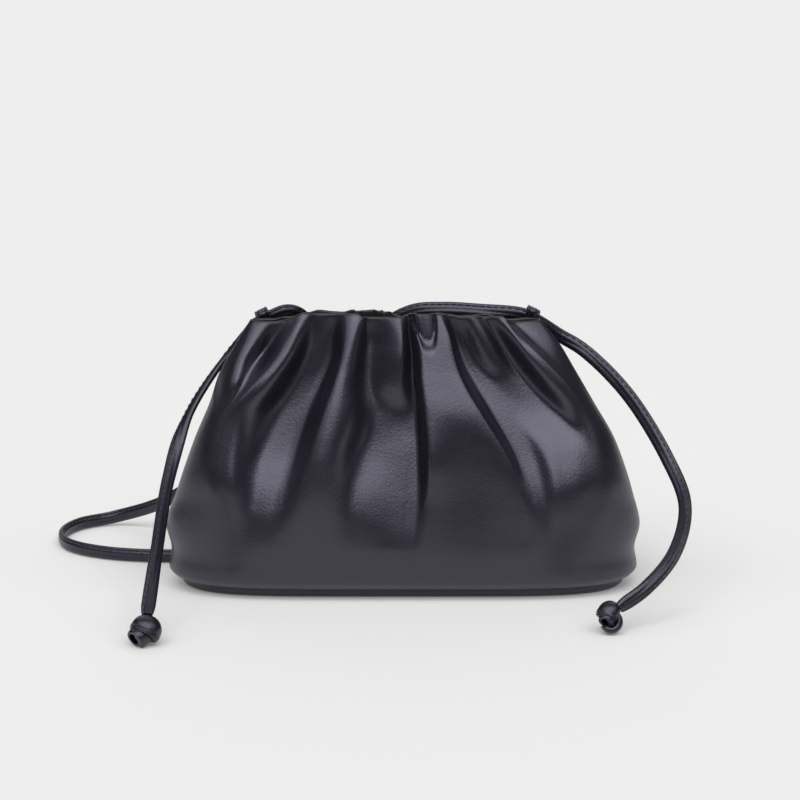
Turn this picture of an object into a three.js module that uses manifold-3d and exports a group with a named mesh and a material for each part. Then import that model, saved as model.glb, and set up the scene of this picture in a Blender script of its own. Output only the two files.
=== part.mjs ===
// Crossbody pouch bag: a gathered leather pouch with two corner loops and one strap knotted at both ends.
// Millimetres, +Z up. The bag stands on z = 0, its front faces -Y and its side seams lie in the plane y = 0.
import * as THREE from "three";
import { mergeVertices } from "three/addons/utils/BufferGeometryUtils.js";
import Module from "manifold-3d";

// Driving dimensions
const wall = 1.7; // pouch leather
const sewnGap = 0.3; // kept between neighbouring pieces
const rimHeight = 126.3; // at the corners of the mouth
const strapWidth = 6.5;
const strapThickness = 3.2;
const keeperLength = 6.2; // along the strap
const keeperWall = 1;
const keeperPlay = 0.55; // between the strap and its loop
const knotRadius = 7;

// Level sections of the pouch. The leather hangs from the gathered rim and bulges over the belly, so the wall
// follows the shallower of the two depths. fullness 2 is an ellipse, higher values are squarer at the ends.
const sections = [
  { height: 0, halfWidth: 104.5, gathered: 44, belly: 26.5, fullness: 5.5, lean: 0 },
  { height: 1.2, halfWidth: 108, gathered: 44, belly: 30, fullness: 5.5, lean: 0 },
  { height: 4, halfWidth: 110.4, gathered: 43.9, belly: 32.8, fullness: 5.4, lean: 0 },
  { height: 9, halfWidth: 110.9, gathered: 43.6, belly: 34.2, fullness: 5.2, lean: 0 },
  { height: 18.5, halfWidth: 109.7, gathered: 42.9, belly: 35.4, fullness: 4.6, lean: 0 },
  { height: 30, halfWidth: 112, gathered: 41, belly: 36.4, fullness: 3.8, lean: 0 },
  { height: 44, halfWidth: 107.9, gathered: 39.3, belly: 37.2, fullness: 4.1, lean: 0.7 },
  { height: 56, halfWidth: 104.1, gathered: 37, belly: 37.8, fullness: 4.5, lean: 0.9 },
  { height: 71, halfWidth: 98.4, gathered: 33.2, belly: 38.5, fullness: 4, lean: 0.7 },
  { height: 87, halfWidth: 90.4, gathered: 28, belly: 39, fullness: 3.4, lean: -0.5 },
  { height: 102, halfWidth: 83.6, gathered: 22, belly: 39, fullness: 2.9, lean: -2.3 },
  { height: 117, halfWidth: 74.95, gathered: 15, belly: 39, fullness: 2.7, lean: -2.55 },
  { height: rimHeight, halfWidth: 68.4, gathered: 10, belly: 39, fullness: 2.6, lean: -3.5 },
];
const bellyBlend = 4.5; // over this difference of the two depths the wall rounds from one into the other
const wallLevels = [
  0, 1.2, 4, 9, 18.5, 26, 33, 39, 44, 49, 54, 60, 66, 72, 79, 86, 93, 99, 105, 111, 117, 121.5, rimHeight,
];

// Nested rings that fill the flat base, from the seam under its middle to the first level section.
const baseRings = [
  { halfWidth: 55, belly: 0 },
  { halfWidth: 84, belly: 14 },
];

// Lines of the gathers, left to right across the front, at the fold levels: place is the share of the half
// width and depth the mm out of the gathered form, about 0 on a crest and under 0 in a trough.
// sharp 1 is a crease, 0 a rounded line and under 0 a flat top. Below the last level the values stay.
const foldLevels = [rimHeight, 119, 111, 100, 86, 68, 46, 26];
const folds = [
  {
    place: [-0.93, -0.931, -0.933, -0.915, -0.945, -0.96, -0.97, -0.98],
    depth: [0.3, 2, 4, 5.5, 4, 3.5, 4, 3],
    sharp: -0.5,
  },
  {
    place: [-0.78, -0.79, -0.81, -0.84, -0.91, -0.915, -0.91, -0.92],
    depth: [-2.5, -5, -5.5, 1.5, 3.5, 3, 4, 3],
    sharp: 0,
  },
  {
    place: [-0.628, -0.658, -0.689, -0.77, -0.87, -0.85, -0.83, -0.82],
    depth: [0, 2, 3.5, 4.5, 3.4, 1.8, 3.5, 2],
    sharp: -0.5,
  },
  {
    place: [-0.53, -0.53, -0.54, -0.565, -0.635, -0.665, -0.66, -0.65],
    depth: [-2.5, -5, -8, -11, -12.5, -11.5, -6.5, -2],
    sharp: 0,
  },
  {
    place: [-0.4, -0.4, -0.385, -0.41, -0.47, -0.505, -0.535, -0.54],
    depth: [-3.5, -8, -10.5, -12.5, -13, -12.5, -7, -2],
    sharp: 0.5,
  },
  {
    place: [-0.233, -0.277, -0.304, -0.327, -0.368, -0.391, -0.395, -0.395],
    depth: [0.5, 0.8, 1, 1, 1, 0.6, -0.6, -1],
    sharp: -0.8,
  },
  {
    place: [-0.186, -0.185, -0.185, -0.18, -0.165, -0.21, -0.24, -0.24],
    depth: [-2.5, -7, -9, -11, -12, -12, -6.5, -3],
    sharp: 0.2,
  },
  {
    place: [0.024, 0.025, 0.016, -0.008, -0.011, 0, 0, -0.01],
    depth: [0, 0, -1, -5, -12, -12, -9.5, -5.5],
    sharp: 0.2,
  },
  {
    place: [0.082, 0.077, 0.085, 0.085, 0.078, 0.068, 0.062, 0.04],
    depth: [-3, -7, -9, -11, -13, -12.5, -9.5, -6],
    sharp: 1,
  },
  {
    place: [0.13, 0.135, 0.137, 0.132, 0.122, 0.115, 0.105, 0.08],
    depth: [0.3, 0, 0, 0, 0, -0.5, -5, -5],
    sharp: 0.3,
  },
  {
    place: [0.215, 0.211, 0.218, 0.226, 0.24, 0.27, 0.28, 0.28],
    depth: [-1, -0.5, -0.3, -0.4, -0.5, -4, -7, -6.5],
    sharp: 0,
  },
  {
    place: [0.302, 0.324, 0.332, 0.36, 0.41, 0.467, 0.505, 0.505],
    depth: [0, 0, 0, 0, -0.3, -2.5, -4.5, -4],
    sharp: 0.5,
  },
  {
    place: [0.356, 0.359, 0.371, 0.41, 0.46, 0.515, 0.555, 0.56],
    depth: [-3, -7, -8.5, -9.5, -9.2, -8.5, -5, -1.5],
    sharp: 0.8,
  },
  {
    place: [0.429, 0.418, 0.435, 0.494, 0.54, 0.585, 0.6, 0.6],
    depth: [-2, -6, -8, -9.2, -9.5, -8.5, -5, -1.5],
    sharp: 0,
  },
  {
    place: [0.526, 0.536, 0.554, 0.583, 0.63, 0.68, 0.67, 0.65],
    depth: [0, -1.5, -4, -8.5, -9.5, -5.2, -2.2, -1],
    sharp: -0.2,
  },
  {
    place: [0.604, 0.624, 0.653, 0.702, 0.77, 0.82, 0.84, 0.84],
    depth: [-3, -6, -8.5, -9.5, -8.5, -2, -0.3, 0],
    sharp: 0,
  },
  {
    place: [0.75, 0.786, 0.843, 0.906, 0.95, 0.965, 0.97, 0.97],
    depth: [0.5, 3, 5, 5, 2.5, 0.5, 0, 0],
    sharp: -0.5,
  },
  {
    place: [0.818, 0.85, 0.899, 0.956, 0.985, 0.99, 0.99, 0.99],
    depth: [-1.5, -0.5, 1.5, 2.5, 1.5, 0.5, 0, 0],
    sharp: 0.3,
  },
];
const creaseSlope = 1.6; // of the wall beside a crease, in depths per span to the next line
const foldSteps = 2; // columns from one fold line to the next
const endSteps = 4; // columns from a side seam to the first fold line

// Stretches of each rim that stand up, as shares of the half width: rising from and to, falling from and to
const rimRise = {
  front: [
    { rise: [-0.85, -0.62], fall: [0.72, 0.8], lift: 3 },
    { rise: [-0.7, -0.62], fall: [-0.26, -0.21], lift: 1.6 },
    { rise: [0.04, 0.08], fall: [0.36, 0.46], lift: 1.3 },
  ],
  back: [
    { rise: [-0.72, -0.6], fall: [-0.1, 0.06], lift: 3 },
    { rise: [0.2, 0.3], fall: [0.6, 0.75], lift: 1.5 },
  ],
};
const rimRiseStart = 105;
const rimDip = 0.2; // the rim sinks by this share of a gather's depth

// Way of the strap from the left knot to the right knot: point, and the direction of its width there
const strapRoute = [
  { at: [-113, -92.3, 12.5], wide: [-1, 0, 0] }, // left tail
  { at: [-111, -64, 32.8], wide: [-0.72, -0.4, 0.57] },
  { at: [-107.8, -27, 59.2], wide: [-0.72, -0.3, 0.57] },
  { at: [-100.2, -4.2, 82.6], wide: [-0.4, 0.9, 0] },
  { at: [-84.9, 10.4, 104.8], wide: [0, 1, 0] },
  { at: [-73, 12, 117.6], wide: [-0.5, 0.6, 0.6] },
  { at: [-68, 12.2, 122.9], wide: [-0.45, -0.2, 0.87] }, // through the left keeper
  { at: [-61.4, 12.7, 126.3], wide: [-0.4, -0.3, 0.87] },
  { at: [-53.9, 15, 128.1], wide: [0.1, 0.2, 0.93] },
  { at: [-47, 19, 124.4], wide: [0.8, -0.3, 0.45] }, // over the back rim
  { at: [-41, 26.7, 103.3], wide: [1, 0, 0.3] },
  { at: [-30, 35.2, 72], wide: [0.9, 0, 0.4] },
  { at: [-6, 42.6, 32], wide: [0.6, 0, 0.7] },
  { at: [22, 45.4, 8.4], wide: [0.2, 0, 1] },
  { at: [48, 48, 3.6], wide: [0, 0, 1] }, // on the floor behind the bag
  { at: [63, 58, 3.6], wide: [0, 0, 1] },
  { at: [62, 73, 3.6], wide: [0, 0, 1] },
  { at: [46, 80, 3.6], wide: [0, 0, 1] },
  { at: [10, 68, 3.6], wide: [0, 0, 1] },
  { at: [-60, 39.6, 3.6], wide: [0, 0, 1] },
  { at: [-113, 31, 3.6], wide: [0, 0, 1] }, // loop at the left
  { at: [-146, 37, 3.6], wide: [0, 0, 1] },
  { at: [-165, 51, 3.6], wide: [0, 0, 1] },
  { at: [-170.6, 70, 3.6], wide: [0, 0, 1] },
  { at: [-164, 88.6, 3.6], wide: [0, 0, 1] },
  { at: [-147, 97.6, 4.9], wide: [-0.1, 0, 1] },
  { at: [-118, 85, 17.6], wide: [-0.4, -0.1, 0.9] }, // rising behind the bag
  { at: [-70, 53, 61], wide: [-0.5, -0.3, 0.8] },
  { at: [-16, 25, 114], wide: [-0.3, -0.2, 0.9] },
  { at: [4, 17, 127.6], wide: [0, 0.3, 0.95] }, // over the right half of the rim
  { at: [18.3, 14.5, 129.4], wide: [0, 0.4, 0.92] },
  { at: [36.6, 13.2, 128.7], wide: [0.1, 0.4, 0.92] },
  { at: [56, 11.3, 127.2], wide: [0.4, 0, 0.85] }, // through the right keeper
  { at: [62.9, 11.3, 124.1], wide: [0.45, -0.1, 0.82] },
  { at: [73, 11.8, 117.5], wide: [0.5, -0.1, 0.85] },
  { at: [85.4, 9, 110.2], wide: [0.6, 0.3, 0.7] }, // right tail
  { at: [105.3, 1.6, 91], wide: [0.6, 0, 0.7] },
  { at: [123.1, -14, 63.8], wide: [0.8, -0.2, 0.5] },
  { at: [129.6, -33.4, 46.8], wide: [0.8, -0.4, 0.4] },
  { at: [123, -55.4, 30.4], wide: [0.85, -0.2, -0.2] },
  { at: [109, -71.2, 18.6], wide: [0.7, -0.1, -0.6] },
  { at: [96.4, -77.6, 11.2], wide: [0.65, 0, -0.75] },
];

const smooth = THREE.MathUtils.smoothstep;
const lerp = THREE.MathUtils.lerp;

// Smooth curve through values that belong to rising or falling places
function curveThrough(places, values, place) {
  const last = places.length - 1;
  const falling = places[0] > places[last];
  let i = 0;
  while (i < last - 1 && (falling ? place < places[i + 1] : place > places[i + 1])) i++;
  const slope = (k) => {
    const a = Math.max(k - 1, 0);
    const b = Math.min(k + 1, last);
    return (values[b] - values[a]) / (places[b] - places[a]);
  };
  const span = places[i + 1] - places[i];
  const t = THREE.MathUtils.clamp((place - places[i]) / span, 0, 1);
  const t2 = t * t;
  const t3 = t2 * t;
  return (
    values[i] * (2 * t3 - 3 * t2 + 1) +
    slope(i) * span * (t3 - 2 * t2 + t) +
    values[i + 1] * (3 * t2 - 2 * t3) +
    slope(i + 1) * span * (t3 - t2)
  );
}

const sectionHeights = sections.map((s) => s.height);

function sectionAt(height) {
  const value = (column) => curveThrough(sectionHeights, sections.map((s) => s[column]), height);
  return {
    height,
    halfWidth: value("halfWidth"),
    gathered: value("gathered"),
    belly: value("belly"),
    fullness: value("fullness"),
    lean: value("lean"),
  };
}

// Fold lines at one height, with the side seams as its plain ends
function foldLinesAt(height, mirror) {
  const lines = folds.map(({ place, depth, sharp }) => ({
    place: mirror * curveThrough(foldLevels, place, height),
    depth: curveThrough(foldLevels, depth, height),
    sharp,
  }));
  if (mirror < 0) lines.reverse();
  return [{ place: -1, depth: 0, sharp: 0 }, ...lines, { place: 1, depth: 0, sharp: 0 }];
}

// Depth from one fold line to the next, at a share of the way across
function betweenFolds(from, to, share) {
  const rise = to.depth - from.depth;
  const flatLeft = share ** (1 + Math.max(-from.sharp, 0));
  const t = 1 - (1 - flatLeft) ** (1 + Math.max(-to.sharp, 0));
  const left = creaseSlope * Math.max(from.sharp, 0) * t * (1 - t) ** 2;
  const right = creaseSlope * Math.max(to.sharp, 0) * t * t * (1 - t);
  return from.depth + rise * (smooth(t, 0, 1) + left - right);
}

// Columns across the panel, running down along the folds: the place of each and the gather's depth there
function columnsAt(height, mirror) {
  const lines = foldLinesAt(height, mirror);
  const columns = [];
  for (let i = 0; i + 1 < lines.length; i++) {
    const [from, to] = [lines[i], lines[i + 1]];
    const atLeft = i === 0;
    const atRight = i + 2 === lines.length;
    const steps = atLeft || atRight ? endSteps : foldSteps;
    for (let k = 0; k < steps; k++) {
      const t = k / steps;
      const eased = atLeft ? t * t : atRight ? 1 - (1 - t) ** 2 : t;
      columns.push({ place: lerp(from.place, to.place, eased), depth: betweenFolds(from, to, eased) });
    }
  }
  columns.push(lines.at(-1));
  return columns;
}

// The smaller of two depths, rounded where they meet
function smoothMin(a, b, blend) {
  const near = Math.max(blend - Math.abs(a - b), 0) / Math.max(blend, 1e-6);
  return Math.min(a, b) - (near * near * blend) / 4;
}

function rimLift(place, depth, height, stretches) {
  let raised = rimDip * depth;
  for (const { rise, fall, lift } of stretches) {
    raised += lift * smooth(place, ...rise) * (1 - smooth(place, ...fall));
  }
  return raised * smooth(height, rimRiseStart, rimHeight);
}

// Rows of points over one panel, from the seam under the base up to the rim. side is -1 in front, 1 behind.
function panelRows(side, rise, folded) {
  const mirror = -side;
  const floorLevel = sectionAt(0);
  const levels = [
    ...baseRings.map((ring) => ({ ...floorLevel, ...ring })),
    ...wallLevels.map((height) => sectionAt(height)),
  ];
  return levels.map((level) =>
    columnsAt(level.height, mirror).map(({ place, depth }) => {
      const across = Math.sqrt(Math.max(0, 1 - Math.abs(place) ** level.fullness));
      const gathered = level.gathered * across + (folded ? depth : 0);
      const out = smoothMin(gathered, level.belly * across, bellyBlend * across);
      return new THREE.Vector3(
        level.lean + level.halfWidth * place,
        side * (sewnGap / 2 + out),
        level.height + rimLift(place, folded ? depth : 0, level.height, rise),
      );
    }),
  );
}

// Outward direction of the surface at each point of the rows
function rowNormals(rows, side) {
  const at = (j, i) => rows[THREE.MathUtils.clamp(j, 0, rows.length - 1)]
    [THREE.MathUtils.clamp(i, 0, rows[0].length - 1)];
  return rows.map((row, j) =>
    row.map((_, i) => {
      const across = at(j, i + 1).clone().sub(at(j, i - 1));
      const up = at(j + 1, i).clone().sub(at(j - 1, i));
      return across.cross(up).multiplyScalar(-side).normalize();
    }),
  );
}

// One leather panel: outer rows, inner rows a wall's thickness inside them, and the edges between
function panelGeometry(side, rise) {
  const outer = panelRows(side, rise, true);
  const foldNormals = rowNormals(outer, side);
  const plainNormals = rowNormals(panelRows(side, rise, false), side);
  const topRow = outer.length - 1;
  const endColumn = outer[0].length - 1;
  const steepest = 0.6; // share of the wall seen along the plain form's own direction
  const inner = outer.map((row, j) =>
    row.map((point, i) => {
      const out = plainNormals[j][i].clone();
      if (i === 0 || i === endColumn) out.y = 0;
      if (j === topRow) out.z = 0;
      if (j < baseRings.length) out.set(0, 0, -1);
      out.normalize();
      const thickness = wall / Math.max(steepest, foldNormals[j][i].dot(out));
      return point.clone().addScaledVector(out, -thickness);
    }),
  );
  const columns = endColumn + 1;
  const points = [...outer.flat(), ...inner.flat()];
  const innerStart = outer.length * columns;
  const index = [];
  const quad = (a, b, c, d) => {
    if (side < 0) index.push(a, b, c, a, c, d);
    else index.push(a, c, b, a, d, c);
  };
  const outside = (j, i) => j * columns + i;
  const inside = (j, i) => innerStart + outside(j, i);
  for (let j = 0; j < topRow; j++) {
    for (let i = 0; i < endColumn; i++) {
      quad(outside(j, i), outside(j, i + 1), outside(j + 1, i + 1), outside(j + 1, i));
      quad(inside(j, i), inside(j + 1, i), inside(j + 1, i + 1), inside(j, i + 1));
    }
    quad(outside(j, 0), outside(j + 1, 0), inside(j + 1, 0), inside(j, 0));
    quad(outside(j + 1, endColumn), outside(j, endColumn), inside(j, endColumn), inside(j + 1, endColumn));
  }
  for (let i = 0; i < endColumn; i++) {
    quad(outside(0, i + 1), outside(0, i), inside(0, i), inside(0, i + 1));
    quad(outside(topRow, i), outside(topRow, i + 1), inside(topRow, i + 1), inside(topRow, i));
  }
  const geometry = new THREE.BufferGeometry().setFromPoints(points);
  geometry.setIndex(index);
  geometry.computeVertexNormals();
  return geometry;
}

// The strap's centre line, with the frame at each step turned so that its width follows the route
class StrapCurve extends THREE.CatmullRomCurve3 {
  constructor(route) {
    super(route.map(({ at }) => new THREE.Vector3(...at)));
    this.widths = route.map(({ wide }) => new THREE.Vector3(...wide).normalize());
  }

  getSpacedPoints(steps) {
    return this.getPoints(steps);
  }

  frameAt(t) {
    const tangent = this.getTangent(t);
    const along = t * (this.widths.length - 1);
    const i = Math.min(Math.floor(along), this.widths.length - 2);
    const width = this.widths[i].clone().lerp(this.widths[i + 1], along - i);
    width.addScaledVector(tangent, -width.dot(tangent)).normalize();
    return { tangent, width, face: tangent.clone().cross(width) };
  }

  computeFrenetFrames(steps) {
    const frames = Array.from({ length: steps + 1 }, (_, i) => this.frameAt(i / steps));
    return {
      tangents: frames.map((f) => f.tangent),
      normals: frames.map((f) => f.width),
      binormals: frames.map((f) => f.face),
    };
  }
}

// Flat strap section with rounded edges
function strapSection() {
  const halfWidth = strapWidth / 2;
  const halfThickness = strapThickness / 2;
  const flat = halfWidth * 0.72; // half of the flat face
  const edge = halfThickness * 0.45; // half of the edge
  return new THREE.Shape([
    new THREE.Vector2(halfWidth, -edge),
    new THREE.Vector2(halfWidth, edge),
    new THREE.Vector2(flat, halfThickness),
    new THREE.Vector2(-flat, halfThickness),
    new THREE.Vector2(-halfWidth, edge),
    new THREE.Vector2(-halfWidth, -edge),
    new THREE.Vector2(-flat, -halfThickness),
    new THREE.Vector2(flat, -halfThickness),
  ]);
}

const wasm = await Module();
wasm.setup();

function solidOf(geometry) {
  const bare = geometry.clone();
  bare.deleteAttribute("normal");
  bare.deleteAttribute("uv");
  const merged = mergeVertices(bare, 1e-4);
  return new wasm.Manifold(
    new wasm.Mesh({
      numProp: 3,
      vertProperties: new Float32Array(merged.attributes.position.array),
      triVerts: new Uint32Array(merged.index.array),
    }),
  );
}

function geometryOf(solid) {
  const mesh = solid.getMesh();
  const geometry = new THREE.BufferGeometry();
  geometry.setAttribute("position", new THREE.BufferAttribute(new Float32Array(mesh.vertProperties), 3));
  geometry.setIndex(new THREE.BufferAttribute(new Uint32Array(mesh.triVerts), 1));
  geometry.computeVertexNormals();
  return geometry;
}

// Leather loop round the strap, its hole along X, its wide side along Y
function keeperGeometry() {
  const holeWidth = strapWidth + 2 * keeperPlay;
  const holeHeight = strapThickness + 2 * keeperPlay;
  const ring = roundedRectangle(holeWidth + 2 * keeperWall, holeHeight + 2 * keeperWall, keeperWall + 0.6);
  ring.holes.push(roundedRectangle(holeWidth, holeHeight, 0.6));
  const geometry = new THREE.ExtrudeGeometry(ring, {
    depth: keeperLength,
    bevelEnabled: false,
    curveSegments: 2,
  });
  geometry.translate(0, 0, -keeperLength / 2);
  geometry.rotateX(Math.PI / 2);
  geometry.rotateZ(Math.PI / 2);
  return geometry;
}

function roundedRectangle(width, height, radius) {
  const [w, h] = [width / 2, height / 2];
  const shape = new THREE.Shape();
  shape.moveTo(-w + radius, -h);
  shape.lineTo(w - radius, -h);
  shape.absarc(w - radius, -h + radius, radius, -Math.PI / 2, 0);
  shape.lineTo(w, h - radius);
  shape.absarc(w - radius, h - radius, radius, 0, Math.PI / 2);
  shape.lineTo(-w + radius, h);
  shape.absarc(-w + radius, h - radius, radius, Math.PI / 2, Math.PI);
  shape.lineTo(-w, -h + radius);
  shape.absarc(-w + radius, -h + radius, radius, Math.PI, 1.5 * Math.PI);
  return shape;
}

// Overhand knot: a round core, two turns of the strap across it and the rolled cut end
function knotGeometry({ turns, stub, squeeze }) {
  const core = new THREE.SphereGeometry(knotRadius * 0.82, 12, 8);
  let knot = solidOf(core);
  for (const { tilt, spin } of turns) {
    const turn = new THREE.TorusGeometry(knotRadius * 0.66, strapThickness * 0.72, 7, 14);
    turn.scale(1, 1, 1.5);
    turn.rotateX(tilt);
    turn.rotateZ(spin);
    knot = knot.add(solidOf(turn));
  }
  const rolled = new THREE.CylinderGeometry(stub.radius, stub.radius * 0.9, stub.length, 10);
  rolled.rotateZ(-Math.PI / 2);
  rolled.translate(stub.length / 2, 0, 0);
  const hollow = new THREE.CylinderGeometry(stub.radius * 0.5, stub.radius * 0.5, stub.length, 8);
  hollow.rotateZ(-Math.PI / 2);
  hollow.translate(stub.length, 0, 0);
  for (const piece of [rolled, hollow]) {
    piece.rotateY(stub.dip);
    piece.rotateZ(stub.heading);
  }
  knot = knot.add(solidOf(rolled)).subtract(solidOf(hollow));
  const geometry = geometryOf(knot);
  geometry.scale(...squeeze);
  geometry.computeBoundingBox();
  return geometry.translate(0, 0, -geometry.boundingBox.min.z);
}

function leather(colour, roughness) {
  return new THREE.MeshStandardMaterial({ color: colour, roughness, metalness: 0 });
}

const pouchColour = 0x2b2935;
const strapColour = 0x24222c;

const bag = new THREE.Group();

function addPiece(name, geometry, colour, roughness) {
  const mesh = new THREE.Mesh(geometry, leather(colour, roughness));
  mesh.name = name;
  bag.add(mesh);
  return mesh;
}

addPiece("front_panel", panelGeometry(-1, rimRise.front), pouchColour, 0.42);
addPiece("back_panel", panelGeometry(1, rimRise.back), pouchColour, 0.42);

const strapCurve = new StrapCurve(strapRoute);
const strapStep = { steps: 2 * (strapRoute.length - 1), bevelEnabled: false, extrudePath: strapCurve };
addPiece("strap", new THREE.ExtrudeGeometry(strapSection(), strapStep), strapColour, 0.45);

// Each keeper lies along the strap, halfway from its first point of the route to the next
for (const [name, point] of [["keeper_left", 6], ["keeper_right", 32]]) {
  const middle = (point + 0.5) / (strapRoute.length - 1);
  const { tangent, width, face } = strapCurve.frameAt(middle);
  const mesh = addPiece(name, keeperGeometry(), strapColour, 0.45);
  mesh.position.copy(strapCurve.getPoint(middle));
  mesh.quaternion.setFromRotationMatrix(new THREE.Matrix4().makeBasis(tangent, width, face));
}

const leftKnot = addPiece(
  "knot_left",
  knotGeometry({
    turns: [{ tilt: 0.5, spin: 0.4 }, { tilt: 1.35, spin: -0.9 }],
    stub: { radius: 3.6, length: 9.5, dip: 0.35, heading: -2.3 },
    squeeze: [1, 1, 1],
  }),
  strapColour,
  0.4,
);
leftKnot.position.set(-113.4, -96.6, 0.02);

const rightKnot = addPiece(
  "knot_right",
  knotGeometry({
    turns: [{ tilt: 1.2, spin: 0.3 }, { tilt: 1.5, spin: 1.4 }],
    stub: { radius: 3.6, length: 8, dip: 0.1, heading: -2 },
    squeeze: [0.76, 0.9, 1.1],
  }),
  strapColour,
  0.4,
);
rightKnot.position.set(91.6, -79.3, 0.02);

export default bag;
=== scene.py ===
import math

import bpy
import numpy as np
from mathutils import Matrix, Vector


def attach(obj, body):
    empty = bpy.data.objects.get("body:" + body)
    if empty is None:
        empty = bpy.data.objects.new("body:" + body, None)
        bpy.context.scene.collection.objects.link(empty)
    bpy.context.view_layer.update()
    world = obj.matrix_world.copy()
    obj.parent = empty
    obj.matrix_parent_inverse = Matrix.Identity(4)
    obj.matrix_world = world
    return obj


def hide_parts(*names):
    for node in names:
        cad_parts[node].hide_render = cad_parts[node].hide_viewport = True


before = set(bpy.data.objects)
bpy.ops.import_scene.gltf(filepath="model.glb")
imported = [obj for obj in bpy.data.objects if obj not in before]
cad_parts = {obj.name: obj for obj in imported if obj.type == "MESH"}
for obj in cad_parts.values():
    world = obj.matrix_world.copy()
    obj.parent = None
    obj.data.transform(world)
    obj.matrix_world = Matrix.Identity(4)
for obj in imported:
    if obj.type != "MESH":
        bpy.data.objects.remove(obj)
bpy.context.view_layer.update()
scene = bpy.context.scene
mm = 0.001

# Camera at the photograph's angle, 13 degrees down
photoCamera = {
    "lens": 120,
    "sensor": 36,
    "place": (-0.0014, -1.2170, 0.3696),
    "lookAt": (-0.0014, 0, 0.0886),
    "seesTo": 50,
}


def addCamera(setup):
    data = bpy.data.cameras.new("photo_camera")
    data.lens = setup["lens"]
    data.sensor_width = setup["sensor"]
    data.clip_end = setup["seesTo"]
    camera = bpy.data.objects.new("photo_camera", data)
    scene.collection.objects.link(camera)
    camera.location = setup["place"]
    aim = Vector(setup["lookAt"]) - Vector(setup["place"])
    camera.rotation_euler = aim.to_track_quat("-Z", "Y").to_euler()
    scene.camera = camera


addCamera(photoCamera)
print("camera placed")


# Small mesh helpers
def unit(vectors):
    lengths = np.linalg.norm(vectors, axis=-1, keepdims=True)
    return vectors / np.maximum(lengths, 1e-12)


def addMesh(name, points, faces, materials, faceMaterial=None, sharpAngle=50):
    mesh = bpy.data.meshes.new(name)
    mesh.from_pydata([tuple(p) for p in points], [], [tuple(f) for f in faces])
    for material in materials:
        mesh.materials.append(material)
    if faceMaterial is not None:
        mesh.polygons.foreach_set("material_index", np.asarray(faceMaterial, dtype=np.int32))
    mesh.polygons.foreach_set("use_smooth", np.ones(len(mesh.polygons), dtype=bool))
    mesh.set_sharp_from_angle(angle=math.radians(sharpAngle))
    mesh.update()
    piece = bpy.data.objects.new(name, mesh)
    scene.collection.objects.link(piece)
    return piece


def tubeFaces(rings, around, start=0):
    faces = []
    for j in range(rings - 1):
        for i in range(around):
            k = (i + 1) % around
            a, b = start + j * around, start + (j + 1) * around
            faces.append((a + i, b + i, b + k, a + k))
    return faces


# Directions along a path, across it and out of its face
def pathFrame(path, width):
    tangent = unit(np.gradient(path, axis=0))
    across = unit(width - tangent * np.sum(width * tangent, axis=1, keepdims=True))
    return tangent, across, np.cross(tangent, across)


# A section, given as offsets across and out at each station, swept along a path and closed at both ends
def sweep(path, width, sections):
    _, across, out = pathFrame(path, width)
    points = (
        path[:, None, :]
        + across[:, None, :] * sections[:, :, 0:1]
        + out[:, None, :] * sections[:, :, 1:2]
    )
    rings, around = points.shape[:2]
    faces = tubeFaces(rings, around)
    faces.append(tuple(range(around)))
    last = (rings - 1) * around
    faces.append(tuple(last + i for i in reversed(range(around))))
    return points.reshape(-1, 3), faces


# Node helpers for the finishes
def newFinish(name):
    material = bpy.data.materials.new(name)
    material.use_nodes = True
    nodes = material.node_tree.nodes
    return material, nodes, material.node_tree.links, nodes["Principled BSDF"]


def addNoise(nodes, links, place, scale, detail, roughness=0.5):
    noise = nodes.new("ShaderNodeTexNoise")
    noise.inputs["Scale"].default_value = scale
    noise.inputs["Detail"].default_value = detail
    noise.inputs["Roughness"].default_value = roughness
    links.new(place, noise.inputs["Vector"])
    return noise.outputs["Fac"]


def addRange(nodes, links, value, low, high, fromLow=0.3, fromHigh=0.7):
    ranged = nodes.new("ShaderNodeMapRange")
    ranged.inputs["From Min"].default_value = fromLow
    ranged.inputs["From Max"].default_value = fromHigh
    ranged.inputs["To Min"].default_value = low
    ranged.inputs["To Max"].default_value = high
    links.new(value, ranged.inputs["Value"])
    return ranged.outputs["Result"]


def addBump(nodes, links, height, strength, distance, under=None):
    bump = nodes.new("ShaderNodeBump")
    bump.inputs["Strength"].default_value = strength
    bump.inputs["Distance"].default_value = distance
    links.new(height, bump.inputs["Height"])
    if under is not None:
        links.new(under, bump.inputs["Normal"])
    return bump.outputs["Normal"]


def addMix(nodes, links, factor, first, second):
    mix = nodes.new("ShaderNodeMix")
    mix.data_type = "RGBA"
    mix.inputs["A"].default_value = (*first, 1)
    mix.inputs["B"].default_value = (*second, 1)
    links.new(factor, mix.inputs["Factor"])
    return mix.outputs["Result"]


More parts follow.
